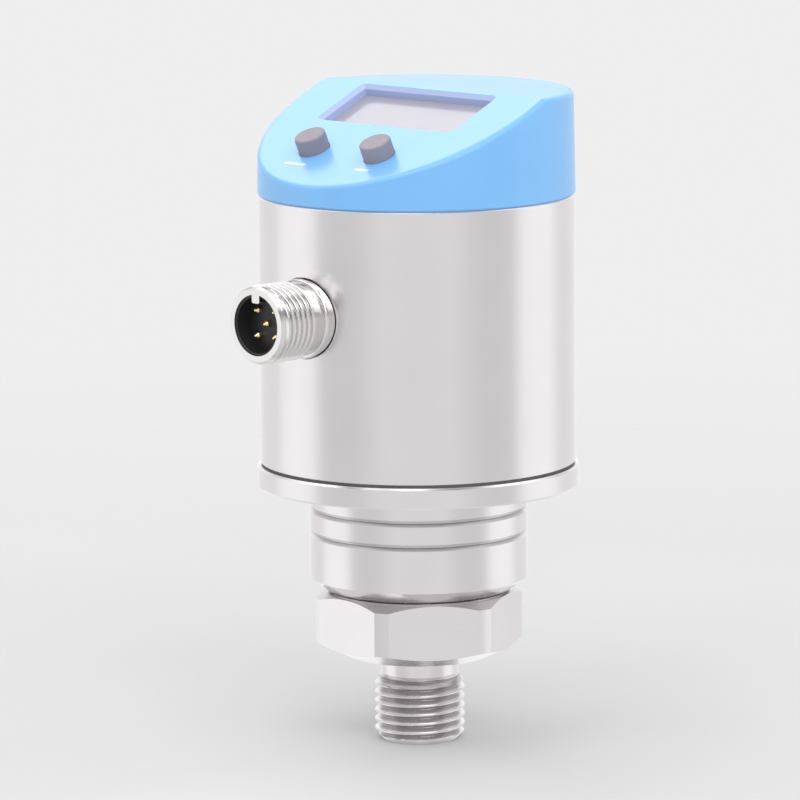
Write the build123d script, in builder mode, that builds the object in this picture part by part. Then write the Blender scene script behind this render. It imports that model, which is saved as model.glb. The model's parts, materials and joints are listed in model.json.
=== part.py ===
from build123d import *
import os
from math import cos, radians, sin, sqrt, tan

os.makedirs("parts", exist_ok=True)

# Digital pressure switch, in millimetres.
# The origin is the centre of the sealing face under the hexagon. +Z runs up the housing axis.
# -Y is the front: the electrical connector and the low edge of the slanted face point that way.

# Process connection, turned from round bar with a hexagon milled on it
thread_d = 14.0
thread_reach = 13.5
thread_end_chamfer = 1.2
thread_run_out = 1.6
relief_d = 12.0
relief_length = 3.0
sealing_face_d = 22.6
hex_af = 29.0
hex_bar_d = 32.2
hex_height = 10.0
hex_lower_angle = 25.0
hex_upper_angle = 30.0
hex_heading = 23.5
inlet_d = 3.5
inlet_mouth_chamfer = 0.6

# Spigot of the process connection, and the sensor seat inside it
spigot_d = 25.0
spigot_length = 14.0
sensor_seat_rise = 3.0
cell_d = 18.0
cell_t = 6.0
cell_clearance = 0.15
clamp_thread_d = 20.0
clamp_ring_t = 4.0
clamp_ring_hole_d = 12.0
spanner_hole_d = 1.6
spanner_hole_depth = 2.0
sensor_seal_d = 12.0
sensor_seal_w = 2.0
sensor_seal_t = 1.3

# Base: the grooved neck, the flange under the housing and the rim inside it
neck_d = 34.0
neck_length = 16.9
neck_foot_d = 28.4
neck_foot_gap = 0.3
neck_foot_set_back = 0.8
neck_chamfer_height = 2.15
neck_groove_w = 1.0
neck_groove_depth = 0.5
neck_groove_drop = 3.1
neck_groove_pitch = 3.75
flange_d = 50.0
flange_t = 3.3
flange_edge = 0.3
base_rim_height = 7.0
base_rim_wall = 5.9
base_bore_d = 22.0
base_floor_t = 5.8
rim_lead_in = 0.5

# Housing tube and the seals at its two ends
tube_d = 49.0
tube_wall = 1.5
tube_length = 41.6
tube_edge = 0.2
gasket_t = 0.3
gasket_set_back = 0.25
slip_fit = 0.1
ring_seal_w = 2.2
ring_seal_depth = 1.4
ring_seal_inset = 2.6
seal_rounding = 0.4

# Cap with the slanted operating face
cap_front_height = 3.2
cap_back_height = 15.85
cap_draft = 1.0
face_angle = 24.2
cap_wall = 3.2
cap_skirt_length = 7.0
cap_rim_fillet = 0.9
shelf_edge = 0.25

# Display window, sunk into the slanted face
window_w = 27.9
window_l = 10.25
window_slope_place = 2.3
window_bevel = 0.6
window_corner_r = 0.5
window_recess = 1.7
pane_margin = 1.4
pane_clearance = 0.1

# Display, its board and what holds them
display_gap = 0.1
display_board_depth = 9.4
board_t = 1.6
board_edge_gap = 0.5
display_board_rise = 11.5
display_board_drop = 20.0
boss_d = 4.6
boss_side = 12.6
boss_rise = 7.6
boss_drop = 12.3
board_screw_d = 2.0
board_screw_grip = 4.0
board_screw_hole_d = 2.4
board_screw_head_d = 4.0
board_screw_head_t = 1.3
screw_slot_w = 0.6
thread_fit = 0.05

# Push buttons and the switches below them
button_d = 4.9
button_proud = 2.6
button_edge = 0.3
button_spacing = 14.0
button_rim_distance = 10.41
button_travel = 0.5
button_fit = 0.08
button_flange_d = 6.6
button_flange_t = 0.8
button_flange_gap = 0.1
button_seal_w = 0.9
button_seal_depth = 0.65
switch_side = 6.0
switch_body_t = 3.4
plunger_d = 3.4
plunger_overlap = 1.0
plunger_fit = 0.1
switch_floor = 0.6

# Electrical connector on the side of the tube
connector_height = 55.2
connector_reach = 34.5
connector_thread_d = 12.0
connector_end_chamfer = 0.45
connector_thread_start = 27.2
connector_relief_d = 10.8
connector_collar_d = 12.2
connector_collar_proud = 1.1
connector_collar_r = 0.5
connector_hole_gap = 0.15
connector_bore_d = 9.3
connector_flange_d = 16.0
connector_flange_back = 19.5
key_w = 1.6
key_h = 1.3
key_corner_r = 0.3
key_fit = 0.1
insert_fit = 0.05
insert_face_depth = 2.8
insert_cup_wall = 0.3
insert_cup_depth = 0.3
insert_back = 15.0
insert_shoulder_d = 11.6
insert_shoulder_t = 2.0
insert_seal_w = 1.8
insert_seal_depth = 1.0
insert_seal_place = 24.0
pin_d = 1.0
pin_proud = 1.1
pin_tip = 0.45
pin_taper = 0.36
pin_circle_d = 5.5
pin_tail = 1.2
pin_fit = 0.02
pad_clearance = 0.15

# Main board, the carrier that holds it and what is soldered on it
main_board_back = 8.2
main_board_foot = 2.4
main_board_top_drop = 0.3
carrier_t = 2.5
carrier_wall = 1.8
carrier_slot_depth = 1.8
carrier_column_height = 24.0
carrier_fit = 0.1
carrier_clearance = 0.5
carrier_screw_d = 2.2
carrier_screw_grip = 5.0
carrier_screw_head_d = 4.2
carrier_screw_head_t = 1.4
carrier_screw_count = 3
carrier_screw_heading = 30.0
processor_side = 9.0
processor_t = 1.4
processor_edge = 0.25
transistor_w = 6.5
transistor_l = 5.5
transistor_t = 1.8
transistor_gap = 0.43
socket_w = 9.0
socket_t = 2.5
socket_l = 5.0
ribbon_w = 6.0
ribbon_t = 0.3
ribbon_bend_r = 2.0
ribbon_pad_l = 4.0
ribbon_rise = 6.0

# Heights along the housing axis
hex_top = hex_height
seat_z = hex_top + sensor_seat_rise
spigot_top = hex_top + spigot_length
neck_foot = hex_top + neck_foot_gap
neck_top = hex_top + neck_length
flange_top = neck_top + flange_t
base_top = flange_top + base_rim_height
tube_foot = flange_top + gasket_t
cap_edge = tube_foot + tube_length
cap_top = cap_edge + cap_back_height

# Radii that several pieces share
tube_r = tube_d / 2
tube_bore_r = tube_r - tube_wall
rim_r = tube_bore_r - slip_fit
base_well_r = rim_r - base_rim_wall
cap_bore_r = tube_r - cap_wall

# The slanted face: its origin lies on the housing axis, its local Y runs up the slope
face_slope = tan(radians(face_angle))
face_z = cap_edge + cap_front_height + tube_r * face_slope
face_normal = (0, -sin(radians(face_angle)), cos(radians(face_angle)))
face_axis = Axis((0, 0, 0), face_normal)


def face_plane(depth):
    """Plane parallel to the slanted face, this far below it."""
    drop = Vector(*face_normal) * -depth
    return Plane(origin=Vector(0, 0, face_z) + drop, x_dir=(1, 0, 0), z_dir=face_normal)


def front_plane(reach):
    """Plane across the connector's axis, this far in front of the housing axis."""
    return Plane(origin=(0, -reach, connector_height), x_dir=(1, 0, 0), z_dir=(0, -1, 0))


def finish(builder, name):
    builder.part.label = name
    export_step(builder.part, "parts/" + name + ".step")


def ring_seal(name, outer_r, inner_r, foot, height):
    """Squeezed sealing ring that fills its groove around the housing axis."""
    with BuildPart() as ring:
        with BuildSketch(Plane.XZ):
            with Locations(((outer_r + inner_r) / 2, foot + height / 2)):
                RectangleRounded(outer_r - inner_r, height, min(outer_r - inner_r, height) * seal_rounding)
        revolve(axis=Axis.Z)
    finish(ring, name)


# Process connection
corner_r = hex_bar_d / 2
face_r = sealing_face_d / 2
lower_corner = (corner_r - face_r) * tan(radians(hex_lower_angle))
upper_corner = (corner_r - hex_af / 2) * tan(radians(hex_upper_angle))
with BuildPart() as pressure_port:
    with BuildSketch(Plane.XZ):
        with BuildLine():
            Polyline(
                (0, 0),
                (face_r, 0),
                (corner_r, lower_corner),
                (corner_r, hex_top - upper_corner),
                (hex_af / 2, hex_top),
                (0, hex_top),
                close=True,
            )
        make_face()
    revolve(axis=Axis.Z)
    with BuildSketch():
        RegularPolygon(hex_af / 2, 6, major_radius=False, rotation=hex_heading - 90)
    extrude(amount=hex_top, mode=Mode.INTERSECT)
    with BuildSketch(Plane.XZ):
        with BuildLine():
            Polyline(
                (0, 0),
                (relief_d / 2, 0),
                (relief_d / 2, -relief_length),
                (thread_d / 2, -relief_length - thread_run_out),
                (thread_d / 2, thread_end_chamfer - thread_reach),
                (thread_d / 2 - thread_end_chamfer, -thread_reach),
                (0, -thread_reach),
                close=True,
            )
        make_face()
    revolve(axis=Axis.Z)
    with BuildSketch(Plane.XY.offset(hex_top)):
        Circle(spigot_d / 2)
    extrude(amount=spigot_length)
    with BuildSketch(Plane.XY.offset(seat_z)):
        Circle(cell_d / 2 + cell_clearance)
    extrude(amount=cell_t, mode=Mode.SUBTRACT)
    with BuildSketch(Plane.XY.offset(seat_z + cell_t)):
        Circle(clamp_thread_d / 2)
    extrude(amount=spigot_length, mode=Mode.SUBTRACT)
    with BuildSketch(Plane.XY.offset(seat_z - sensor_seal_t)):
        Circle((sensor_seal_d + sensor_seal_w) / 2)
        Circle((sensor_seal_d - sensor_seal_w) / 2, mode=Mode.SUBTRACT)
    extrude(amount=sensor_seal_t, mode=Mode.SUBTRACT)
    with BuildSketch(Plane.XY.offset(-thread_reach)):
        Circle(inlet_d / 2)
    extrude(amount=thread_reach + seat_z, mode=Mode.SUBTRACT)
    mouth = pressure_port.edges().filter_by(GeomType.CIRCLE).group_by(Axis.Z)[0].sort_by(SortBy.RADIUS)[0]
    chamfer(mouth, inlet_mouth_chamfer)
finish(pressure_port, "pressure_port")

ring_seal(
    "sensor_seal",
    (sensor_seal_d + sensor_seal_w) / 2,
    (sensor_seal_d - sensor_seal_w) / 2,
    seat_z - sensor_seal_t,
    sensor_seal_t,
)

# Ceramic measuring cell
with BuildPart() as sensor_cell:
    with BuildSketch(Plane.XY.offset(seat_z)):
        Circle(cell_d / 2)
    extrude(amount=cell_t)
    chamfer(sensor_cell.edges().filter_by(GeomType.CIRCLE), cell_clearance)
finish(sensor_cell, "sensor_cell")

# Threaded ring that clamps the cell
clamp_foot = seat_z + cell_t
with BuildPart() as sensor_clamp_ring:
    with BuildSketch(Plane.XY.offset(clamp_foot)):
        Circle(clamp_thread_d / 2 - thread_fit)
        Circle(clamp_ring_hole_d / 2, mode=Mode.SUBTRACT)
    extrude(amount=clamp_ring_t)
    spanner_r = (clamp_thread_d + clamp_ring_hole_d) / 4
    with BuildSketch(Plane.XY.offset(clamp_foot + clamp_ring_t)):
        with PolarLocations(spanner_r, 2):
            Circle(spanner_hole_d / 2)
    extrude(amount=-spanner_hole_depth, mode=Mode.SUBTRACT)
finish(sensor_clamp_ring, "sensor_clamp_ring")

# Base with its grooved neck and flange
base_screw_r = (base_well_r + rim_r - ring_seal_depth) / 2
foot_r = neck_foot_d / 2
with BuildPart() as base_flange:
    with BuildSketch(Plane.XZ):
        with BuildLine():
            Polyline(
                (0, hex_top),
                (foot_r - neck_foot_set_back, hex_top),
                (foot_r - neck_foot_set_back, neck_foot),
                (foot_r, neck_foot),
                (neck_d / 2, neck_foot + neck_chamfer_height),
                (neck_d / 2, neck_top),
                (0, neck_top),
                close=True,
            )
        make_face()
    revolve(axis=Axis.Z)
    with BuildSketch(Plane.XY.offset(neck_top)):
        Circle(flange_d / 2)
    extrude(amount=flange_t)
    chamfer(base_flange.edges().filter_by(GeomType.CIRCLE).sort_by(SortBy.RADIUS)[-2:], flange_edge)
    with BuildSketch(Plane.XY.offset(flange_top)):
        Circle(rim_r)
    extrude(amount=base_rim_height)
    chamfer(base_flange.edges().sort_by(Axis.Z)[-1], rim_lead_in)
    with BuildSketch(Plane.XZ):
        for number in range(2):
            groove_top = neck_top - neck_groove_drop - number * neck_groove_pitch
            groove_foot = groove_top - neck_groove_w
            floor_r = neck_d / 2 - neck_groove_depth
            with BuildLine():
                Polyline(
                    (neck_d / 2 + neck_groove_w, groove_top),
                    (floor_r, groove_top),
                    (floor_r, groove_foot + neck_groove_depth),
                    (neck_d / 2 + neck_groove_w, groove_foot - neck_groove_w),
                    close=True,
                )
            make_face()
    revolve(axis=Axis.Z, mode=Mode.SUBTRACT)
    with BuildSketch(Plane.XY.offset(flange_top + ring_seal_inset)):
        Circle(rim_r)
        Circle(rim_r - ring_seal_depth, mode=Mode.SUBTRACT)
    extrude(amount=ring_seal_w, mode=Mode.SUBTRACT)
    with BuildSketch(Plane.XY.offset(hex_top)):
        Circle(spigot_d / 2 + thread_fit)
    extrude(amount=spigot_length + thread_fit, mode=Mode.SUBTRACT)
    with BuildSketch(Plane.XY.offset(spigot_top)):
        Circle(base_bore_d / 2)
    extrude(amount=base_top - spigot_top, mode=Mode.SUBTRACT)
    with BuildSketch(Plane.XY.offset(spigot_top + base_floor_t)):
        Circle(base_well_r)
    extrude(amount=base_top - spigot_top, mode=Mode.SUBTRACT)
    with BuildSketch(Plane.XY.offset(base_top)):
        with PolarLocations(base_screw_r, carrier_screw_count, start_angle=carrier_screw_heading):
            Circle(carrier_screw_d / 2)
    extrude(amount=-carrier_screw_grip - thread_fit, mode=Mode.SUBTRACT)
finish(base_flange, "base_flange")

# Flat gasket in the seam between flange and tube
with BuildPart() as base_gasket:
    with BuildSketch(Plane.XY.offset(flange_top)):
        Circle(tube_r - gasket_set_back)
        Circle(rim_r + slip_fit, mode=Mode.SUBTRACT)
    extrude(amount=gasket_t)
finish(base_gasket, "base_gasket")

ring_seal("base_seal", rim_r, rim_r - ring_seal_depth, flange_top + ring_seal_inset, ring_seal_w)

# Housing tube with the round hole for the connector
connector_hole_r = connector_collar_d / 2 + connector_hole_gap
with BuildPart() as housing_tube:
    with BuildSketch(Plane.XY.offset(tube_foot)):
        Circle(tube_r)
        Circle(tube_bore_r, mode=Mode.SUBTRACT)
    extrude(amount=tube_length)
    chamfer(housing_tube.edges().filter_by(GeomType.CIRCLE).sort_by(SortBy.RADIUS)[-2:], tube_edge)
    with BuildSketch(front_plane(0)):
        Circle(connector_hole_r)
    extrude(amount=tube_d, mode=Mode.SUBTRACT)
finish(housing_tube, "housing_tube")

# Connector shell: threaded nose, collar in the hole and a flange that follows the tube's bore
collar_front = tube_r + connector_collar_proud
with BuildPart() as connector_shell:
    with BuildSketch(front_plane(connector_flange_back)):
        Circle(connector_flange_d / 2)
    extrude(amount=tube_r - connector_flange_back)
    with BuildSketch(Plane.XY.offset(cap_edge)):
        Circle(tube_bore_r - thread_fit)
    extrude(amount=-tube_length, mode=Mode.INTERSECT)
    with BuildSketch(front_plane(connector_flange_back)):
        Circle(connector_collar_d / 2)
    extrude(amount=collar_front - connector_flange_back)
    fillet(connector_shell.edges().sort_by(Axis.Y)[0], connector_collar_r)
    with BuildSketch(front_plane(collar_front)):
        Circle(connector_relief_d / 2)
    extrude(amount=connector_thread_start - collar_front)
    with BuildSketch(front_plane(connector_thread_start)):
        Circle(connector_thread_d / 2)
    extrude(amount=connector_reach - connector_thread_start)
    thread_run_in = (connector_thread_d - connector_relief_d) / 4
    nose_edges = connector_shell.edges().filter_by(GeomType.CIRCLE).group_by(Axis.Y)
    chamfer(nose_edges[0], connector_end_chamfer)
    thread_back = connector_shell.faces().filter_by(Axis.Y).sort_by(Axis.Y)[1]
    chamfer(thread_back.edges().sort_by(SortBy.RADIUS)[-1], thread_run_in)
    with BuildSketch(front_plane(connector_flange_back)):
        Circle(connector_bore_d / 2)
    extrude(amount=connector_reach - connector_flange_back, mode=Mode.SUBTRACT)
    with BuildSketch(front_plane(connector_reach)):
        key_foot = connector_bore_d / 2 - key_h
        with Locations((0, key_foot)):
            Rectangle(key_w, key_h + connector_end_chamfer / 2, align=(Align.CENTER, Align.MIN))
        fillet(vertices().group_by(Axis.Z)[0], key_corner_r)
    extrude(amount=-insert_face_depth)
finish(connector_shell, "connector_shell")

# Contact carrier: cup behind the shell's mouth, sealed barrel and a shoulder behind the shell
insert_r = connector_bore_d / 2 - insert_fit
insert_face = connector_reach - insert_face_depth
board_face = main_board_back + board_t
with BuildPart() as connector_insert:
    with BuildSketch(front_plane(insert_back)):
        Circle(insert_r)
    extrude(amount=insert_face - insert_back)
    with BuildSketch(front_plane(insert_face)):
        Circle(insert_r)
        Circle(insert_r - insert_cup_wall, mode=Mode.SUBTRACT)
        with Locations((0, connector_bore_d / 2)):
            Rectangle(key_w + 2 * key_fit, 2 * (key_h + key_fit), mode=Mode.SUBTRACT)
    extrude(amount=insert_face_depth - insert_cup_depth)
    with BuildSketch(front_plane(connector_flange_back)):
        Circle(insert_shoulder_d / 2)
    extrude(amount=-insert_shoulder_t)
    with BuildSketch(front_plane(insert_seal_place)):
        Circle(insert_r)
        Circle(insert_r - insert_seal_depth, mode=Mode.SUBTRACT)
    extrude(amount=insert_seal_w, mode=Mode.SUBTRACT)
    with BuildSketch(front_plane(insert_back)):
        Circle(pin_d / 2 + pin_fit)
        with PolarLocations(pin_circle_d / 2, 4, start_angle=45):
            Circle(pin_d / 2 + pin_fit)
    extrude(amount=insert_face - insert_back, mode=Mode.SUBTRACT)
finish(connector_insert, "connector_insert")

# Sealing ring around the contact carrier
with BuildPart() as connector_seal:
    with BuildSketch(front_plane(insert_seal_place)):
        Circle(insert_r)
        Circle(insert_r - insert_seal_depth, mode=Mode.SUBTRACT)
    extrude(amount=insert_seal_w)
    fillet(connector_seal.edges().filter_by(GeomType.CIRCLE), insert_seal_depth * seal_rounding)
finish(connector_seal, "connector_seal")


def contact_pin(name, x, rise):
    """Round contact with a conical tip, soldered through the main board."""
    with BuildPart() as pin:
        with BuildSketch(front_plane(main_board_back - pin_tail)):
            with Locations((x, rise)):
                Circle(pin_d / 2)
        extrude(amount=insert_face + pin_proud - main_board_back + pin_tail)
        chamfer(pin.edges().sort_by(Axis.Y)[0], pin_tip, pin_taper)
    finish(pin, name)


pin_offset = pin_circle_d / 2 * cos(radians(45))
pin_places = [
    (-pin_offset, pin_offset),
    (pin_offset, pin_offset),
    (pin_offset, -pin_offset),
    (-pin_offset, -pin_offset),
    (0, 0),
]
for number, (x, rise) in enumerate(pin_places, start=1):
    contact_pin("contact_pin_" + str(number), x, rise)

# Board carrier: ring on the base rim with two slotted columns
carrier_top = base_top + carrier_t
carrier_r = tube_bore_r - carrier_clearance
column_front = board_face + carrier_wall
column_back = main_board_back - carrier_wall
column_outer = sqrt(carrier_r**2 - column_front**2)
column_inner = column_outer - carrier_wall - carrier_slot_depth
board_half_w = column_outer - carrier_wall - carrier_fit
board_foot = carrier_top - main_board_foot + carrier_fit
board_top = carrier_top + carrier_column_height - main_board_top_drop
transistor_place = column_inner - transistor_gap - transistor_w / 2
with BuildPart() as board_carrier:
    with BuildSketch(Plane.XY.offset(base_top)):
        Circle(carrier_r)
        Circle(base_well_r, mode=Mode.SUBTRACT)
    extrude(amount=carrier_t)
    with BuildSketch(Plane.XY.offset(carrier_top)):
        for side in (-1, 1):
            with Locations((side * (column_inner + column_outer) / 2, -(column_front + column_back) / 2)):
                Rectangle(column_outer - column_inner, column_front - column_back)
    extrude(amount=carrier_column_height)
    with BuildSketch(Plane.XY.offset(board_foot - carrier_fit)):
        with Locations((0, -main_board_back - board_t / 2)):
            Rectangle(2 * (board_half_w + carrier_fit), board_t + 2 * carrier_fit)
    extrude(amount=carrier_column_height + carrier_t, mode=Mode.SUBTRACT)
    with BuildSketch(Plane.XY.offset(base_top)):
        with PolarLocations(base_screw_r, carrier_screw_count, start_angle=carrier_screw_heading):
            Circle(carrier_screw_d / 2 + carrier_fit)
    extrude(amount=carrier_t, mode=Mode.SUBTRACT)
finish(board_carrier, "board_carrier")

# Screws that hold the carrier on the base
with BuildPart() as carrier_screws:
    with BuildSketch(Plane.XY.offset(base_top - carrier_screw_grip)):
        with PolarLocations(base_screw_r, carrier_screw_count, start_angle=carrier_screw_heading):
            Circle(carrier_screw_d / 2 - thread_fit)
    extrude(amount=carrier_screw_grip + carrier_t)
    with BuildSketch(Plane.XY.offset(carrier_top)):
        with PolarLocations(base_screw_r, carrier_screw_count, start_angle=carrier_screw_heading):
            Circle(carrier_screw_head_d / 2)
    extrude(amount=carrier_screw_head_t)
    with BuildSketch(Plane.XY.offset(carrier_top + carrier_screw_head_t)):
        with PolarLocations(base_screw_r, carrier_screw_count, start_angle=carrier_screw_heading):
            Rectangle(carrier_screw_head_d, screw_slot_w)
    extrude(amount=-carrier_screw_head_t / 2, mode=Mode.SUBTRACT)
finish(carrier_screws, "carrier_screws")

# Main board, upright behind the connector
board_plane = Plane(origin=(0, -main_board_back, board_foot), x_dir=(1, 0, 0), z_dir=(0, -1, 0))
with BuildPart() as main_board:
    with BuildSketch(board_plane):
        Rectangle(2 * board_half_w, board_top - board_foot, align=(Align.CENTER, Align.MIN))
    extrude(amount=board_t)
    with BuildSketch(front_plane(main_board_back)):
        with Locations(*pin_places):
            Circle(pin_d / 2 + pad_clearance)
    extrude(amount=board_t, mode=Mode.SUBTRACT)
finish(main_board, "main_board")

# Components on the front of the main board, beside and below the contacts
with BuildPart() as processor:
    with BuildSketch(Plane(origin=(0, -board_face, 0), x_dir=(1, 0, 0), z_dir=(0, -1, 0))):
        with Locations((0, connector_height - connector_collar_d / 2 - processor_side / 2)):
            Rectangle(processor_side, processor_side)
    extrude(amount=processor_t)
    chamfer(processor.faces().sort_by(Axis.Y)[0].edges(), processor_edge)
finish(processor, "processor")

with BuildPart() as output_transistors:
    with BuildSketch(Plane(origin=(0, -board_face, 0), x_dir=(1, 0, 0), z_dir=(0, -1, 0))):
        for side in (-1, 1):
            with Locations((side * transistor_place, connector_height)):
                Rectangle(transistor_w, transistor_l)
    extrude(amount=transistor_t)
finish(output_transistors, "output_transistors")


def board_socket(name, foot):
    """Ribbon socket on the back of the main board."""
    with BuildPart() as socket:
        with BuildSketch(Plane(origin=(0, -main_board_back, foot), x_dir=(1, 0, 0), z_dir=(0, 1, 0))):
            with Locations((0, -socket_l / 2)):
                Rectangle(socket_w, socket_l)
        extrude(amount=socket_t)
    finish(socket, name)


def ribbon(name, points, radius):
    """Flat ribbon on the left of a route in the plane of symmetry."""
    with BuildPart() as strip:
        with BuildSketch(Plane.YZ):
            with BuildLine():
                FilletPolyline(*points, radius=radius)
                offset(amount=ribbon_t, side=Side.LEFT)
            make_face()
        extrude(amount=ribbon_w / 2, both=True)
    finish(strip, name)


# Sockets and ribbons: sensor to main board, main board to display board
ribbon_y = (socket_t + ribbon_t) / 2 - main_board_back
sensor_socket_foot = board_foot + carrier_t
link_socket_top = board_top
board_socket("sensor_socket", sensor_socket_foot)
board_socket("link_socket", link_socket_top - socket_l)

cell_top = seat_z + cell_t + ribbon_t
ribbon(
    "sensor_ribbon",
    [
        (ribbon_pad_l, cell_top),
        (-ribbon_bend_r, cell_top),
        (-ribbon_bend_r, sensor_socket_foot - ribbon_rise),
        (ribbon_y, sensor_socket_foot - ribbon_bend_r),
        (ribbon_y, sensor_socket_foot),
    ],
    ribbon_bend_r,
)

# The display socket lies where a ribbon that leaves the link socket upright meets the board square
display_socket_depth = display_board_depth + board_t + socket_t
ribbon_bend_z = link_socket_top + ribbon_bend_r
bend_depth = face_plane(display_socket_depth).to_local_coords(Vector(0, ribbon_y, ribbon_bend_z)).Z
ribbon_end = Vector(0, ribbon_y, ribbon_bend_z) - Vector(*face_normal) * bend_depth
ribbon(
    "display_ribbon",
    [(ribbon_y, link_socket_top), (ribbon_y, ribbon_bend_z), (ribbon_end.Y, ribbon_end.Z)],
    ribbon_bend_r,
)
with BuildPart() as display_socket:
    with BuildSketch(face_plane(display_socket_depth)):
        with Locations((0, face_plane(display_socket_depth).to_local_coords(ribbon_end).Y)):
            Rectangle(socket_w, socket_l)
    extrude(amount=socket_t)
finish(display_socket, "display_socket")

# Cap: slanted and level faces on a round shell, skirt inside the tube, screw bosses below the face
cap_skirt_foot = cap_edge - cap_skirt_length
boss_places = [
    (-boss_side, boss_rise),
    (boss_side, boss_rise),
    (boss_side, -boss_drop),
    (-boss_side, -boss_drop),
]
button_slope_place = tube_r / cos(radians(face_angle)) - button_rim_distance
button_places = [(-button_spacing / 2, -button_slope_place), (button_spacing / 2, -button_slope_place)]
button_hole_r = button_d / 2 + button_fit

with BuildPart() as cap_hollow:
    with BuildSketch(Plane.XY.offset(cap_skirt_foot)):
        Circle(cap_bore_r)
    extrude(amount=cap_top - cap_wall - cap_skirt_foot)
    split(bisect_by=face_plane(cap_wall), keep=Keep.BOTTOM)

with BuildPart() as boss_block:
    with BuildSketch(face_plane(display_board_depth)):
        with Locations(*boss_places):
            Circle(boss_d / 2)
    extrude(amount=display_board_depth)
    with BuildSketch(Plane.XY.offset(cap_skirt_foot)):
        Circle(cap_bore_r + cap_wall / 2)
    extrude(amount=cap_top - cap_wall / 2 - cap_skirt_foot, mode=Mode.INTERSECT)
    split(bisect_by=face_plane(cap_wall / 2), keep=Keep.BOTTOM)

with BuildPart() as cap:
    with BuildSketch(Plane.XZ):
        with BuildLine():
            Polyline(
                (0, cap_edge),
                (tube_r, cap_edge),
                (tube_r - cap_back_height * tan(radians(cap_draft)), cap_top),
                (0, cap_top),
                close=True,
            )
        make_face()
    revolve(axis=Axis.Z)
    split(bisect_by=face_plane(0), keep=Keep.BOTTOM)
    level_face = cap.faces().sort_by(Axis.Z)[-1]
    crease = level_face.edges().filter_by(GeomType.LINE)
    top_edges = cap.edges().filter_by(lambda edge: edge.center().Z > cap_edge + cap_front_height)
    rim_edges = top_edges.filter_by(GeomType.LINE, reverse=True)
    fillet(rim_edges + crease, cap_rim_fillet)
    chamfer(cap.edges().sort_by(Axis.Z)[0], shelf_edge)
    with BuildSketch(Plane.XY.offset(cap_edge)):
        Circle(rim_r)
    extrude(amount=-cap_skirt_length)
    chamfer(cap.edges().sort_by(Axis.Z)[0], rim_lead_in)
    with BuildSketch(Plane.XY.offset(cap_skirt_foot + ring_seal_inset - slip_fit)):
        Circle(rim_r)
        Circle(rim_r - ring_seal_depth, mode=Mode.SUBTRACT)
    extrude(amount=ring_seal_w, mode=Mode.SUBTRACT)
    add(cap_hollow.part, mode=Mode.SUBTRACT)
    add(boss_block.part)
    with BuildSketch(face_plane(display_board_depth)):
        with Locations(*boss_places):
            Circle(board_screw_d / 2)
    extrude(amount=board_screw_grip + thread_fit, mode=Mode.SUBTRACT)
    with BuildSketch(face_plane(0)):
        with Locations((0, -window_slope_place)):
            RectangleRounded(window_w, window_l, window_corner_r)
    extrude(amount=-cap_wall, mode=Mode.SUBTRACT)
    with BuildSketch(face_plane(0)):
        with Locations((0, -window_slope_place)):
            RectangleRounded(window_w + 2 * window_bevel, window_l + 2 * window_bevel, window_corner_r + window_bevel)
    extrude(amount=-window_bevel, taper=45, mode=Mode.SUBTRACT)
    with BuildSketch(face_plane(window_recess)):
        with Locations((0, -window_slope_place)):
            Rectangle(window_w + 2 * pane_margin, window_l + 2 * pane_margin)
    extrude(amount=window_recess - display_board_depth, mode=Mode.SUBTRACT)
    with BuildSketch(face_plane(0)):
        with Locations(*button_places):
            Circle(button_hole_r)
    extrude(amount=-display_board_depth, mode=Mode.SUBTRACT)
finish(cap, "cap")

ring_seal(
    "cap_seal",
    rim_r,
    rim_r - ring_seal_depth,
    cap_skirt_foot + ring_seal_inset - slip_fit,
    ring_seal_w,
)

# Window pane in its rebate behind the opening
pane_t = cap_wall - window_recess
pane_w = window_w + 2 * (pane_margin - pane_clearance)
pane_l = window_l + 2 * (pane_margin - pane_clearance)
with BuildPart() as display_window:
    with BuildSketch(face_plane(window_recess)):
        with Locations((0, -window_slope_place)):
            Rectangle(pane_w, pane_l)
    extrude(amount=-pane_t)
finish(display_window, "display_window")

# Display module between the pane and its board
with BuildPart() as display_module:
    with BuildSketch(face_plane(display_board_depth)):
        with Locations((0, -window_slope_place)):
            Rectangle(pane_w, pane_l)
    extrude(amount=display_board_depth - cap_wall - display_gap)
finish(display_module, "display_module")

# Display board, cut round to the cap's bore
with BuildPart() as display_board:
    with BuildSketch(face_plane(display_board_depth + board_t)):
        with Locations((0, (display_board_rise - display_board_drop) / 2)):
            Rectangle(2 * cap_bore_r, display_board_rise + display_board_drop)
        with Locations(*boss_places):
            Circle(board_screw_hole_d / 2, mode=Mode.SUBTRACT)
    extrude(amount=board_t)
    with BuildSketch(Plane.XY.offset(cap_skirt_foot)):
        Circle(cap_bore_r - board_edge_gap)
    extrude(amount=cap_top - cap_skirt_foot, mode=Mode.INTERSECT)
finish(display_board, "display_board")

# Screws that hold the display board on the cap's bosses
with BuildPart() as display_board_screws:
    with BuildSketch(face_plane(display_board_depth + board_t)):
        with Locations(*boss_places):
            Circle(board_screw_d / 2 - thread_fit)
    extrude(amount=board_t + board_screw_grip)
    with BuildSketch(face_plane(display_board_depth + board_t)):
        with Locations(*boss_places):
            Circle(board_screw_head_d / 2)
    extrude(amount=-board_screw_head_t)
    with BuildSketch(face_plane(display_board_depth + board_t + board_screw_head_t)):
        with Locations(*boss_places):
            Rectangle(board_screw_head_d, screw_slot_w)
    extrude(amount=board_screw_head_t / 2, mode=Mode.SUBTRACT)
finish(display_board_screws, "display_board_screws")

# Depths below the slanted face of the pieces under each button
flange_depth = cap_wall + button_flange_gap
flange_foot = flange_depth + button_flange_t
switch_top = display_board_depth - switch_body_t
plunger_top = flange_foot
plunger_foot = switch_top + plunger_overlap


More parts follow.
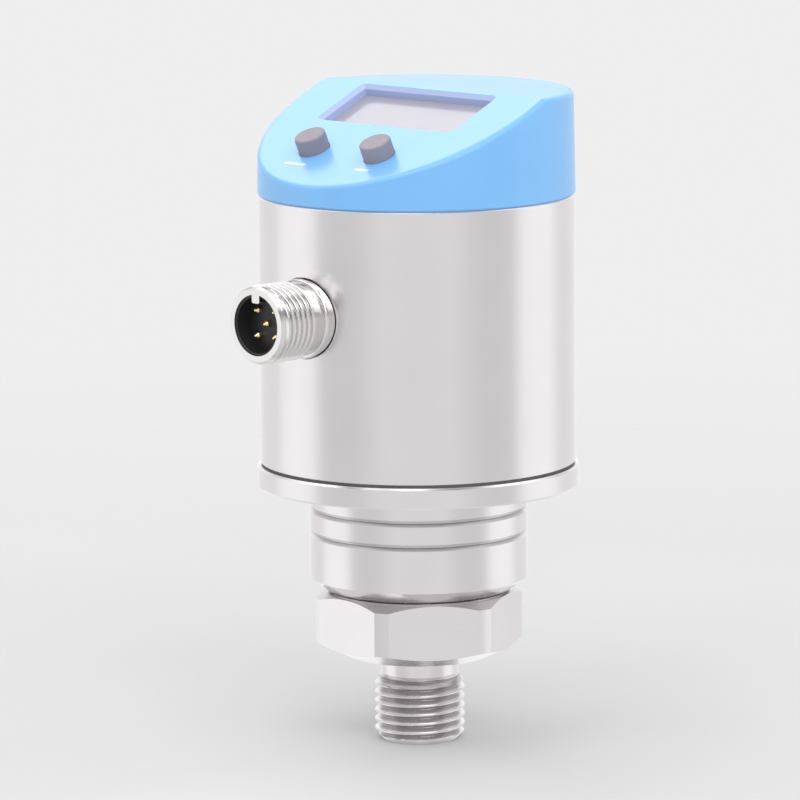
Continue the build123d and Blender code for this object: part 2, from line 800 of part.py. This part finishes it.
def push_button(name, place):
    """Button cap with a seal groove, a flange under the roof and a flat foot."""
    with BuildPart() as button:
        with BuildSketch(face_plane(flange_depth)):
            with Locations(place):
                Circle(button_d / 2)
        extrude(amount=flange_depth + button_proud)
        fillet(button.faces().sort_by(face_axis)[-1].edges(), button_edge)
        with BuildSketch(face_plane(flange_foot)):
            with Locations(place):
                Circle(button_flange_d / 2)
        extrude(amount=button_flange_t)
        seal_middle = (cap_wall - button_travel) / 2
        with BuildSketch(face_plane(seal_middle + button_seal_w / 2)):
            with Locations(place):
                Circle(button_d / 2)
                Circle(button_d / 2 - button_seal_depth, mode=Mode.SUBTRACT)
        extrude(amount=button_seal_w, mode=Mode.SUBTRACT)
    finish(button, name + "_button")
    with BuildPart() as seal:
        with BuildSketch(face_plane(seal_middle + button_seal_w / 2)):
            with Locations(place):
                Circle(button_d / 2 + button_fit / 2)
                Circle(button_d / 2 - button_seal_depth, mode=Mode.SUBTRACT)
        extrude(amount=button_seal_w)
    finish(seal, name + "_button_seal")


def key_switch(name, place):
    """Tact switch on the display board, with its plunger as a piece of its own."""
    with BuildPart() as body:
        with BuildSketch(face_plane(display_board_depth)):
            with Locations(place):
                Rectangle(switch_side, switch_side)
        extrude(amount=switch_body_t)
        with BuildSketch(face_plane(switch_top)):
            with Locations(place):
                Circle(plunger_d / 2 + plunger_fit)
        extrude(amount=switch_floor - switch_body_t, mode=Mode.SUBTRACT)
    finish(body, name + "_switch_body")
    with BuildPart() as plunger:
        with BuildSketch(face_plane(plunger_foot)):
            with Locations(place):
                Circle(plunger_d / 2)
        extrude(amount=plunger_foot - plunger_top)
    finish(plunger, name + "_switch_plunger")


for name, place in zip(("mode", "set"), button_places):
    push_button(name, place)
    key_switch(name, place)
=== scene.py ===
import json
import math

import bmesh
import bpy
from mathutils import Matrix, Quaternion, Vector


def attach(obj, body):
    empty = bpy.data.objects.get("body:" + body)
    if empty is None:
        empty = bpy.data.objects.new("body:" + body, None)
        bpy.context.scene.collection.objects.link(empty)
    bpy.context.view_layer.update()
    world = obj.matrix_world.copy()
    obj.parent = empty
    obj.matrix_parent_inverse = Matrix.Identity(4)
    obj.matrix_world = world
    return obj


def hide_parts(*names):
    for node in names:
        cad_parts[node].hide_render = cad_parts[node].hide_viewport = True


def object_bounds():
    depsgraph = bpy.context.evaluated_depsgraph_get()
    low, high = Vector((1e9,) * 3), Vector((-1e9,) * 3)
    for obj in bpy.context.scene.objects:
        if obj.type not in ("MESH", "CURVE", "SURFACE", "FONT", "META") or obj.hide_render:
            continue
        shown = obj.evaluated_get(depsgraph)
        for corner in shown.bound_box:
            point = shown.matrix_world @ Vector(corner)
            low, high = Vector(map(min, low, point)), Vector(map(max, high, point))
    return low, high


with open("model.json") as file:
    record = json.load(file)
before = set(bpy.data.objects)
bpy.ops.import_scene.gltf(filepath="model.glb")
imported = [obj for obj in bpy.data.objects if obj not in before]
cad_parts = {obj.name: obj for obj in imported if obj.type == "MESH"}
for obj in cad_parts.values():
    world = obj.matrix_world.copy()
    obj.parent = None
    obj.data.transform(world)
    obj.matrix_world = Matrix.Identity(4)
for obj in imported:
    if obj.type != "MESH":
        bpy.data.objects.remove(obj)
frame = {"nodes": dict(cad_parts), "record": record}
NODES = frame["nodes"]
SLOT_OF = {entry["node"]: entry["material_slot"] for entry in frame["record"]["subparts"]}
CAD_BOX = [list(corner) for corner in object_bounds()]

MM = 0.001
ACROSS = (1, 0, 0)
BACKWARD = (0, 1, 0)
UPWARD = (0, 0, 1)

# The slanted face: the height of its middle on the housing axis, in millimetres, and its directions
FACE_ANGLE = math.radians(24.2)
FACE_Z = 86.31
UP_SLOPE = Vector((0, math.cos(FACE_ANGLE), math.sin(FACE_ANGLE)))
FACE_NORMAL = Vector((0, -math.sin(FACE_ANGLE), math.cos(FACE_ANGLE)))


# Shader nodes

def principled(name, base, metallic=0.0, roughness=0.4, ior=1.5, **more):
    material = bpy.data.materials.new(name)
    material.use_nodes = True
    tree = material.node_tree
    tree.nodes.clear()
    output = tree.nodes.new("ShaderNodeOutputMaterial")
    shader = tree.nodes.new("ShaderNodeBsdfPrincipled")
    tree.links.new(shader.outputs["BSDF"], output.inputs["Surface"])
    shader.inputs["Base Color"].default_value = (*base, 1)
    shader.inputs["Metallic"].default_value = metallic
    shader.inputs["Roughness"].default_value = roughness
    shader.inputs["IOR"].default_value = ior
    for socket, value in more.items():
        shader.inputs[socket.replace("_", " ")].default_value = value
    return material, tree, shader


def coordinates(tree, stretch=(1, 1, 1)):
    """Object coordinates in millimetres, stretched along the marks of the tool."""
    source = tree.nodes.new("ShaderNodeTexCoord")
    mapping = tree.nodes.new("ShaderNodeMapping")
    mapping.inputs["Scale"].default_value = tuple(share / MM for share in stretch)
    tree.links.new(source.outputs["Object"], mapping.inputs["Vector"])
    return mapping.outputs["Vector"]


def noise(tree, vector, scale, detail=3.0, roughness=0.5):
    node = tree.nodes.new("ShaderNodeTexNoise")
    node.inputs["Scale"].default_value = scale
    node.inputs["Detail"].default_value = detail
    node.inputs["Roughness"].default_value = roughness
    tree.links.new(vector, node.inputs["Vector"])
    return node.outputs["Fac"]


def ramp(tree, factor, stops, socket=None):
    """Colour or grey by a factor, through stops of place and value."""
    node = tree.nodes.new("ShaderNodeValToRGB")
    elements = node.color_ramp.elements
    while len(elements) < len(stops):
        elements.new(0.5)
    for element, (place, colour) in zip(elements, stops):
        element.position = place
        element.color = (*colour, 1) if isinstance(colour, tuple) else (colour, colour, colour, 1)
    tree.links.new(factor, node.inputs["Fac"])
    if socket is not None:
        tree.links.new(node.outputs["Color"], socket)
    return node.outputs["Color"]


def bump(tree, height, shader, strength, distance):
    node = tree.nodes.new("ShaderNodeBump")
    node.inputs["Strength"].default_value = strength
    node.inputs["Distance"].default_value = distance
    tree.links.new(height, node.inputs["Height"])
    tree.links.new(node.outputs["Normal"], shader.inputs["Normal"])


def calculate(tree, operation, *values):
    """Math node on links and plain numbers."""
    node = tree.nodes.new("ShaderNodeMath")
    node.operation = operation
    for socket, value in zip(node.inputs, values):
        if isinstance(value, (int, float)):
            socket.default_value = value
        else:
            tree.links.new(value, socket)
    return node.outputs["Value"]


def along(tree, vector, direction):
    """Part of a vector along a direction."""
    node = tree.nodes.new("ShaderNodeVectorMath")
    node.operation = "DOT_PRODUCT"
    node.inputs[1].default_value = direction
    tree.links.new(vector, node.inputs[0])
    return node.outputs["Value"]


def within(tree, value, low, high):
    """One between two limits and nothing outside them."""
    return calculate(tree, "COMPARE", value, (low + high) / 2, (high - low) / 2)


def fade(tree, value, start, end, interpolation="LINEAR"):
    """Nothing at the start, rising to one at the end."""
    node = tree.nodes.new("ShaderNodeMapRange")
    node.interpolation_type = interpolation
    node.inputs["From Min"].default_value = start
    node.inputs["From Max"].default_value = end
    tree.links.new(value, node.inputs["Value"])
    return node.outputs["Result"]


def colour_mix(tree, blend_type, factor, first, second):
    node = tree.nodes.new("ShaderNodeMix")
    node.data_type = "RGBA"
    node.blend_type = blend_type
    # The Mix node has sockets of one name for each data type, so the colour ones go by number
    colour_a, colour_b, result = node.inputs[6], node.inputs[7], node.outputs[2]
    for socket, value in ((node.inputs["Factor"], factor), (colour_a, first), (colour_b, second)):
        if isinstance(value, (float, tuple)):
            socket.default_value = value
        else:
            tree.links.new(value, socket)
    return result


def surface_mix(tree, factor, first, second, output):
    """Two shaders mixed into an output's surface."""
    node = tree.nodes.new("ShaderNodeMixShader")
    tree.links.new(factor, node.inputs["Fac"])
    tree.links.new(first, node.inputs[1])
    tree.links.new(second, node.inputs[2])
    tree.links.new(node.outputs["Shader"], output.inputs["Surface"])


# Materials. Lengths are in millimetres, and the scale of a noise counts its cells per millimetre.

STEEL = (0.80, 0.775, 0.785)
TUBE_STEEL = (0.79, 0.765, 0.775)
CAP_BLUE = (0.22, 0.54, 0.97)
# Painted light on the window opening's walls
OPENING_PAINTED_LIGHT = (0.50, 0.60, 0.90)
PANE_TINT = (0.54, 0.52, 0.60)

# Painted shade in the thread roots and the neck grooves, darker than the metal: inner and outer radius, low
# and high end, share of the colour kept
THREAD_PAINTED_SHADE = (6.1, 6.85, -13.5, -3.4, 0.6)
GROOVE_PAINTED_SHADE = (16.55, 16.9, 18.0, 24.2, 0.7)

# Painted dark reflection of the shaded neck on the hexagon's upper chamfer: low and high end, share of the
# colour kept, and how far its normal points up
HEX_CHAMFER_PAINTED_REFLECTION = (8.0, 10.05, 0.7)
CHAMFER_RISE = (0.7, 0.97)

# The window opening's walls, given painted light: limits across, up the slope and along the face's normal
OPENING_ACROSS = (-14.7, 14.7)
OPENING_UP_SLOPE = (-8.2, 3.6)
OPENING_DEPTH = (-3.4, -0.05)

# Metal: tool marks that run round the piece, and soft patches. A shift is the change in colour either way.
TOOL_STRETCH = 0.02
TOOL_MARK_SCALE = 14.0
TOOL_MARK_DEPTH = 0.0006
METAL_PATCH_SCALE = 0.12
METAL_SHIFT = 0.015

# Plastic, rubber and the pane: spark-eroded grain, clouds, and rubbing marks in the pane's polish
GRAIN_SCALE = 6.0
GRAIN_DEPTH = 0.004
PLASTIC_CLOUD_SCALE = 0.1
PLASTIC_SHIFT = 0.02
PANE_CLOUD_SCALE = 0.15
RUB_STRETCH = (1, 0.2, 1)
RUB_SCALE = 1.5


def spread(low, high):
    """Ramp stops over the middle of a noise, where most of its values lie."""
    return [(0.3, low), (0.7, high)]


def shades(colour, shift):
    """Ramp stops from a slightly darker to a slightly lighter shade of a colour."""
    darker, lighter = (tuple(min(part * share, 1.0) for part in colour) for share in (1 - shift, 1 + shift))
    return spread(darker, lighter)


def painted_hollow_shade(tree, colour, inner_r, outer_r, low, high, keep):
    """Colour that darkens from outer_r down to inner_r between two heights, as painted shade in cut
    recesses.
    """
    place = coordinates(tree)
    across = calculate(tree, "POWER", along(tree, place, ACROSS), 2.0)
    backward = calculate(tree, "POWER", along(tree, place, BACKWARD), 2.0)
    radius = calculate(tree, "SQRT", calculate(tree, "ADD", across, backward))
    span = within(tree, along(tree, place, UPWARD), low, high)
    amount = calculate(tree, "MULTIPLY", fade(tree, radius, outer_r, inner_r), span)
    return colour_mix(tree, "MULTIPLY", amount, colour, (keep, keep, keep, 1.0))


def painted_chamfer_reflection(tree, colour, low, high, keep):
    """Colour that is darker on faces at a slope between two heights: a painted dark reflection of the shaded
    neck on a chamfer.
    """
    facing = tree.nodes.new("ShaderNodeTexCoord").outputs["Normal"]
    sloped = within(tree, along(tree, facing, UPWARD), *CHAMFER_RISE)
    span = within(tree, along(tree, coordinates(tree), UPWARD), low, high)
    amount = calculate(tree, "MULTIPLY", sloped, span)
    return colour_mix(tree, "MULTIPLY", amount, colour, (keep, keep, keep, 1.0))


def painted_opening_light(tree, colour, painted_wall_light):
    """Colour with painted light on the walls of the window opening in the slanted face: a lighter, greyer
    blue than the cap where the walls lie in shade.
    """
    place = coordinates(tree)
    up_slope = calculate(tree, "SUBTRACT", along(tree, place, UP_SLOPE), FACE_Z * UP_SLOPE.z)
    rise = calculate(tree, "SUBTRACT", along(tree, place, FACE_NORMAL), FACE_Z * FACE_NORMAL.z)
    inside = within(tree, along(tree, place, ACROSS), *OPENING_ACROSS)
    inside = calculate(tree, "MULTIPLY", inside, within(tree, up_slope, *OPENING_UP_SLOPE))
    inside = calculate(tree, "MULTIPLY", inside, within(tree, rise, *OPENING_DEPTH))
    return colour_mix(tree, "MIX", inside, colour, (*painted_wall_light, 1.0))


def metal(name, base, roughness, axis="Z", anisotropy=0.0, hollow_shade=None, chamfer=None):
    """Turned metal: fine rings round an axis, soft patches in colour and polish."""
    material, tree, shader = principled(name, base, metallic=1.0, roughness=roughness)
    stretch = tuple(1.0 if letter == axis else TOOL_STRETCH for letter in "XYZ")
    rings = noise(tree, coordinates(tree, stretch), TOOL_MARK_SCALE, detail=4.0, roughness=0.6)
    patches = noise(tree, coordinates(tree), METAL_PATCH_SCALE, detail=4.0, roughness=0.55)
    colour = ramp(tree, patches, shades(base, METAL_SHIFT))
    # Painted shade in the thread roots and the neck grooves
    if hollow_shade:
        colour = painted_hollow_shade(tree, colour, *hollow_shade)
    # Painted dark reflection of the shaded neck on the hexagon's chamfer
    if chamfer:
        colour = painted_chamfer_reflection(tree, colour, *chamfer)
    tree.links.new(colour, shader.inputs["Base Color"])
    ramp(tree, rings, spread(roughness * 0.85, roughness * 1.2), shader.inputs["Roughness"])
    bump(tree, rings, shader, strength=0.5, distance=TOOL_MARK_DEPTH * MM)
    if anisotropy:
        shader.inputs["Anisotropic"].default_value = anisotropy
        tangent = tree.nodes.new("ShaderNodeTangent")
        tangent.direction_type = "RADIAL"
        tangent.axis = axis
        tree.links.new(tangent.outputs["Tangent"], shader.inputs["Tangent"])
    return material


def moulded(name, base, roughness, shift=PLASTIC_SHIFT, walls=None, **more):
    """Moulded plastic or rubber: fine spark-eroded grain and faint cloudiness."""
    material, tree, shader = principled(name, base, roughness=roughness, **more)
    grains = noise(tree, coordinates(tree), GRAIN_SCALE, detail=2.0, roughness=0.6)
    clouds = noise(tree, coordinates(tree), PLASTIC_CLOUD_SCALE)
    colour = ramp(tree, clouds, shades(base, shift))
    # Painted light: the window opening's walls lighter than the cap blue, against their shade
    if walls:
        colour = painted_opening_light(tree, colour, walls)
    tree.links.new(colour, shader.inputs["Base Color"])
    ramp(tree, grains, spread(roughness * 0.9, roughness * 1.12), shader.inputs["Roughness"])
    bump(tree, grains, shader, strength=0.35, distance=GRAIN_DEPTH * MM)
    return material


def pane(name):
    """Pane with a milky diffusing film and faint rubbing marks in its polish."""
    material, tree, shader = principled(name, PANE_TINT, roughness=0.14, ior=1.45, Transmission_Weight=0.25)
    clouds = noise(tree, coordinates(tree), PANE_CLOUD_SCALE)
    ramp(tree, clouds, shades(PANE_TINT, PLASTIC_SHIFT), shader.inputs["Base Color"])
    rubbed = noise(tree, coordinates(tree, RUB_STRETCH), RUB_SCALE, detail=4.0, roughness=0.6)
    ramp(tree, rubbed, [(0.4, 0.12), (0.8, 0.2)], shader.inputs["Roughness"])
    return material


MATERIALS = {
    # Painted shade in the thread roots
    "port_steel": metal("port_steel", STEEL, 0.24, hollow_shade=THREAD_PAINTED_SHADE, chamfer=HEX_CHAMFER_PAINTED_REFLECTION),
    # Painted shade in the neck grooves
    "base_steel": metal("base_steel", STEEL, 0.21, anisotropy=0.3, hollow_shade=GROOVE_PAINTED_SHADE),
    "tube_steel": metal("tube_steel", TUBE_STEEL, 0.2, anisotropy=0.3),
    "nickel": metal("nickel", (0.76, 0.745, 0.74), 0.19, "Y"),
    "contact_gold": metal("contact_gold", (0.98, 0.76, 0.42), 0.25, "Y"),
    "insert_black": moulded("insert_black", (0.02, 0.019, 0.02), 0.42),
    "cap_blue": moulded(
        "cap_blue",
        CAP_BLUE,
        0.32,
        # Painted light on the window opening's walls
        walls=OPENING_PAINTED_LIGHT,
        Subsurface_Weight=0.05,
        Subsurface_Scale=0.002,
        Coat_Weight=0.15,
        Coat_Roughness=0.16,
    ),
    "button_grey": moulded("button_grey", (0.33, 0.30, 0.34), 0.55, shift=0.05),
    "window_clear": pane("window_clear"),
    "display_grey": moulded("display_grey", (0.61, 0.61, 0.69), 0.3, shift=0.03),
    "seal_black": moulded("seal_black", (0.02, 0.02, 0.02), 0.6),
    "ceramic_white": moulded("ceramic_white", (0.85, 0.83, 0.79), 0.5),
    "ring_steel": metal("ring_steel", (0.62, 0.61, 0.60), 0.3),
    "carrier_grey": moulded("carrier_grey", (0.2, 0.2, 0.21), 0.5),
    "screw_steel": metal("screw_steel", (0.62, 0.62, 0.63), 0.32),
    "board_green": moulded("board_green", (0.03, 0.2, 0.09), 0.35),
    "chip_black": moulded("chip_black", (0.025, 0.025, 0.027), 0.5),
    "socket_white": moulded("socket_white", (0.8, 0.78, 0.72), 0.45),
    "ribbon_amber": moulded("ribbon_amber", (0.6, 0.3, 0.05), 0.3),
}
MARK_WHITE = moulded("mark_white", (0.74, 0.85, 0.93), 0.5)
GASKET_GREY = moulded("gasket_grey", (0.11, 0.11, 0.115), 0.6)


def dress(piece, material):
    piece.data.materials.clear()
    piece.data.materials.append(material)


for node_name, node_object in NODES.items():
    dress(node_object, MATERIALS[SLOT_OF[node_name]])
dress(NODES["base_gasket"], GASKET_GREY)


def new_piece(name, mesh):
    """Object made from a finished bmesh and linked into the scene."""
    data = bpy.data.meshes.new(name)
    mesh.to_mesh(data)
    mesh.free()
    piece = bpy.data.objects.new(name, data)
    bpy.context.scene.collection.objects.link(piece)
    return piece


# Helical threads on the pressure port and on the connector, each along its own +Z in millimetres. The thread
# stays inside its envelope and above its plain lands, both given as place and radius.

PROCESS = {
    "node": "pressure_port",
    "pitch": 1.43,
    "root": 6.08,
    "start": -13.5,
    "end": -3.0,
    "free_end": -13.5,
    "envelope": [(-13.5, 5.8), (-12.3, 7.0), (-4.6, 7.0), (-3.0, 6.0)],
    "plain": [],
    "to_object": Matrix.Identity(4),
}
NOSE = {
    "node": "connector_shell",
    "pitch": 1.03,
    "root": 5.42,
    "start": 27.2,
    "end": 34.5,
    "free_end": 34.5,
    "envelope": [(27.2, 5.4), (27.5, 6.0), (34.05, 6.0), (34.5, 5.55)],
    "plain": [(32.3, 0.0), (32.9, 5.92), (34.5, 5.92)],
    "to_object": Matrix(((1, 0, 0, 0), (0, 0, -1, 0), (0, 1, 0, 55.2), (0, 0, 0, 1))),
}
# One pitch of the thread form: place along the pitch, height from root to crest
FORM = [
    (0.0, 1.0), (0.07, 1.0), (0.15, 0.97), (0.19, 0.9), (0.27, 0.66), (0.35, 0.42), (0.43, 0.18),
    (0.49, 0.03), (0.57, 0.0), (0.65, 0.03), (0.71, 0.18), (0.79, 0.42), (0.87, 0.66), (0.93, 0.9),
    (0.97, 0.97),
]
CLOSED_FORM = FORM + [(1.0, FORM[0][1])]
STEPS_ROUND = 180
WALL_MARGIN = 0.35
END_SLACK = 0.02
FLAT_SLACK = 0.01
SHARP_ANGLE = math.radians(32)

# In metres
FLAT_FACE = 1e-9
MERGE_DISTANCE = 1e-7


def between(points, x, outside):
    """Straight lines through points, with one value outside them."""
    for (x0, y0), (x1, y1) in zip(points, points[1:]):
        if x0 <= x <= x1:
            return y0 + (y1 - y0) * (x - x0) / (x1 - x0)
    return outside


def thread_radius(spec, z, share):
    """Radius of the thread at a height and at a share of the turn."""
    crest = max(radius for _, radius in spec["envelope"])
    height = between(CLOSED_FORM, (z / spec["pitch"] - share) % 1.0, 1.0)
    radius = spec["root"] + (crest - spec["root"]) * height
    radius = max(radius, between(spec["plain"], z, 0.0))
    return min(radius, between(spec["envelope"], z, crest))


def cut_away(mesh, spec):
    """Delete the plain wall that the thread replaces, and keep the flat free end."""
    to_local = spec["to_object"].inverted()
    doomed = []
    for face in mesh.faces:
        centre = to_local @ (face.calc_center_median() / MM)
        normal = to_local.to_3x3() @ face.normal
        outside = math.hypot(centre.x, centre.y) > spec["root"] - WALL_MARGIN
        in_span = spec["start"] - END_SLACK < centre.z < spec["end"] + END_SLACK
        flat = abs(abs(normal.z) - 1) < FLAT_SLACK
        at_free_end = flat and abs(centre.z - spec["free_end"]) < END_SLACK
        if outside and in_span and not at_free_end:
            doomed.append(face)
    bmesh.ops.delete(mesh, geom=doomed, context="FACES")


def threaded(spec, name):
    """Copy of a turned node whose plain crest cylinder is cut with its helical thread."""
    mesh = bmesh.new()
    mesh.from_mesh(NODES[spec["node"]].data)
    cut_away(mesh, spec)
    low, high, pitch = spec["start"], spec["end"], spec["pitch"]
    first_turn = math.floor(low / pitch) - 2
    last_turn = math.ceil(high / pitch) + 1
    rows = [(turn + place) * pitch for turn in range(first_turn, last_turn) for place, _ in FORM]
    columns = []
    for step in range(STEPS_ROUND + 1):
        share = step / STEPS_ROUND
        angle = 2 * math.pi * share
        column = []
        for row in rows:
            z = min(max(row + share * pitch, low), high)
            radius = thread_radius(spec, z, share)
            place = Vector((radius * math.cos(angle), radius * math.sin(angle), z))
            column.append(mesh.verts.new((spec["to_object"] @ place) * MM))
        columns.append(column)
    for left, right in zip(columns, columns[1:]):
        for row in range(len(rows) - 1):
            corners = (left[row], right[row], right[row + 1], left[row + 1])
            left_side = (corners[0].co - corners[3].co).length
            right_side = (corners[1].co - corners[2].co).length
            if left_side + right_side > FLAT_FACE:
                mesh.faces.new(corners)
    made = [vert for column in columns for vert in column]
    bmesh.ops.remove_doubles(mesh, verts=made, dist=MERGE_DISTANCE)
    loose = [vert for vert in mesh.verts if not vert.link_faces]
    bmesh.ops.delete(mesh, geom=loose, context="VERTS")
    piece = new_piece(name, mesh)
    piece.data.set_sharp_from_angle(angle=SHARP_ANGLE)
    for polygon in piece.data.polygons:
        polygon.use_smooth = True
    slot = SLOT_OF[spec["node"]]
    dress(piece, MATERIALS[slot])
    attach(piece, "housing")
    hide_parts(spec["node"])


threaded(PROCESS, "pressure_port_threaded")
threaded(NOSE, "connector_shell_threaded")


# Plain marks printed on the slanted face, one below each button. Lengths are in millimetres.

MARK_RISE = 0.012
MARK_WIDTH = 0.7
END_STEPS = 12


def printed_bar(name, across, slope, length):
    """Thin bar with round ends, printed on the slanted face."""
    mesh = bmesh.new()
    outline = []
    for end in (1, -1):
        for step in range(END_STEPS + 1):
            angle = math.pi * step / END_STEPS - end * math.pi / 2
            x = across + end * (length - MARK_WIDTH) / 2 + math.cos(angle) * MARK_WIDTH / 2
            y = slope + math.sin(angle) * MARK_WIDTH / 2
            place = Vector((x, 0, FACE_Z)) + UP_SLOPE * y + FACE_NORMAL * MARK_RISE
            outline.append(mesh.verts.new(place * MM))
    mesh.faces.new(outline)
    piece = new_piece(name, mesh)
    dress(piece, MARK_WHITE)
    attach(piece, "housing")


printed_bar("mode_mark", -7.0, -21.0, 4.6)
printed_bar("set_mark", 7.0, -20.7, 3.0)


# Camera at the photograph's place: distances in metres, focal length and aim in pixels of the frame

HEADING = math.radians(44.6)
ELEVATION = math.radians(9.81)
ROLL = math.radians(0.38)
DISTANCE = 0.854
AIM = Vector((0, 0, 0.0302))
FOCAL_PX = 5506
FRAME_PX = 800
AIM_PX = (418.2, 460.9)
SENSOR_MM = 36

to_camera = Vector(
    (
        math.sin(HEADING) * math.cos(ELEVATION),
        -math.cos(HEADING) * math.cos(ELEVATION),
        math.sin(ELEVATION),
    )
)
camera_data = bpy.data.cameras.new("camera")
camera_data.sensor_width = SENSOR_MM
camera_data.lens = FOCAL_PX / FRAME_PX * SENSOR_MM
camera_data.shift_x = (FRAME_PX / 2 - AIM_PX[0]) / FRAME_PX
camera_data.shift_y = (AIM_PX[1] - FRAME_PX / 2) / FRAME_PX
camera_data.clip_start = 0.01
camera_data.clip_end = 50
camera = bpy.data.objects.new("camera", camera_data)
camera.location = AIM + to_camera * DISTANCE
camera.rotation_mode = "QUATERNION"
camera.rotation_quaternion = Quaternion(to_camera, -ROLL) @ (-to_camera).to_track_quat("-Z", "Y")
bpy.context.scene.collection.objects.link(camera)
bpy.context.scene.camera = camera


# Stage: pale floor, soft studio world and four soft boxes

# Where the floor starts to fade and where it is gone, in millimetres from the housing axis
FLOOR_FADE = (90, 420)
FLOOR_GREY = 0.7
FLOOR_WEAR = 0.01
FLOOR_WEAR_SCALE = 0.01
FLOOR_RADIUS = 8.0
FLOOR_SEGMENTS = 96

# Brightness round the room, from the camera's side (0) to behind the object (1)
WALLS = [
    (0.0, 0.84), (0.14, 0.87), (0.26, 0.74), (0.40, 0.74), (0.46, 1.12), (0.62, 1.12), (0.70, 0.87),
    (0.84, 0.9), (0.95, 1.1),
]
# Brightness from straight down (0) to straight up (1), in front of the object and behind it
FRONT_STOREYS = [
    (0.0, 0.85), (0.3, 1.0), (0.55, 1.0), (0.63, 0.5), (0.68, 0.22), (0.75, 0.22), (0.81, 1.5),
    (0.92, 1.5), (0.96, 0.4),
]
REAR_STOREYS = [(0.0, 0.9), (0.3, 1.0), (0.54, 1.0), (0.6, 1.15), (0.8, 1.1), (0.88, 0.35), (1.0, 0.35)]
# How much the rear storeys count, from the camera's side (0) to behind the object (1)
REAR_SHARE = [(0.62, 0.0), (0.84, 1.0)]
BACKDROP = 0.86


def floor_material():
    """Pale matt floor that keeps the shadow and fades into the backdrop around the object."""
    material, tree, shader = principled("floor", (FLOOR_GREY,) * 3, roughness=0.9)
    wear = noise(tree, coordinates(tree), FLOOR_WEAR_SCALE)
    ramp(tree, wear, spread(FLOOR_GREY - FLOOR_WEAR, FLOOR_GREY + FLOOR_WEAR), shader.inputs["Base Color"])
    output = next(node for node in tree.nodes if node.type == "OUTPUT_MATERIAL")
    reach = tree.nodes.new("ShaderNodeVectorMath")
    reach.operation = "LENGTH"
    tree.links.new(coordinates(tree), reach.inputs[0])
    gone = fade(tree, reach.outputs["Value"], *FLOOR_FADE, "SMOOTHSTEP")
    clear = tree.nodes.new("ShaderNodeBsdfTransparent")
    path = tree.nodes.new("ShaderNodeLightPath")
    unseen = calculate(tree, "MAXIMUM", path.outputs["Is Glossy Ray"], gone)
    surface_mix(tree, unseen, shader.outputs["BSDF"], clear.outputs["BSDF"], output)
    return material


def add_floor():
    mesh = bmesh.new()
    bmesh.ops.create_circle(mesh, cap_ends=True, segments=FLOOR_SEGMENTS, radius=FLOOR_RADIUS)
    floor = new_piece("floor", mesh)
    floor.location.z = CAD_BOX[0][2]
    dress(floor, floor_material())


def add_world():
    """Room with bright walls beside the object and a greyer front; the camera sees an even backdrop."""
    world = bpy.data.worlds.new("studio")
    world.use_nodes = True
    bpy.context.scene.world = world
    tree = world.node_tree
    tree.nodes.clear()
    output = tree.nodes.new("ShaderNodeOutputWorld")
    direction = tree.nodes.new("ShaderNodeTexCoord").outputs["Generated"]
    front = along(tree, direction, (math.sin(HEADING), -math.cos(HEADING), 0))
    side = along(tree, direction, (math.cos(HEADING), math.sin(HEADING), 0))
    turned = calculate(tree, "ABSOLUTE", calculate(tree, "ARCTAN2", side, front))
    around = calculate(tree, "DIVIDE", turned, math.pi)
    height = calculate(tree, "MULTIPLY_ADD", along(tree, direction, UPWARD), 0.5, 0.5)
    walls = ramp(tree, around, WALLS)
    front_storeys = ramp(tree, height, FRONT_STOREYS)
    rear_storeys = ramp(tree, height, REAR_STOREYS)
    storeys = colour_mix(tree, "MIX", ramp(tree, around, REAR_SHARE), front_storeys, rear_storeys)
    room = tree.nodes.new("ShaderNodeBackground")
    tree.links.new(colour_mix(tree, "MULTIPLY", 1.0, walls, storeys), room.inputs["Color"])
    backdrop = tree.nodes.new("ShaderNodeBackground")
    backdrop.inputs["Color"].default_value = (BACKDROP, BACKDROP, BACKDROP, 1)
    path = tree.nodes.new("ShaderNodeLightPath")
    seen = path.outputs["Is Camera Ray"]
    surface_mix(tree, seen, room.outputs["Background"], backdrop.outputs["Background"], output)


LAMP_AIM = Vector((0, 0, 0.05))
POWER_PER_RADIANCE = 4


def soft_box(name, place, side, radiance):
    """Square lamp that points at the object's middle."""
    lamp = bpy.data.lights.new(name, "AREA")
    lamp.shape = "RECTANGLE"
    lamp.size, lamp.size_y = side, side
    lamp.energy = radiance * POWER_PER_RADIANCE * side * side
    box = bpy.data.objects.new(name, lamp)
    box.location = place
    box.rotation_mode = "QUATERNION"
    box.rotation_quaternion = (LAMP_AIM - Vector(place)).to_track_quat("-Z", "Y")
    bpy.context.scene.collection.objects.link(box)


add_floor()
add_world()
soft_box("overhead", (-0.05, 0.0, 0.85), side=0.4, radiance=1.4)
soft_box("front_top", (0.07, -0.43, 0.75), side=0.4, radiance=1.4)
soft_box("back_left", (-0.55, 0.28, 0.62), side=0.4, radiance=1.3)
soft_box("front_right", (0.62, -0.28, 0.55), side=0.6, radiance=1.25)

bpy.context.scene.view_settings.view_transform = "Standard"
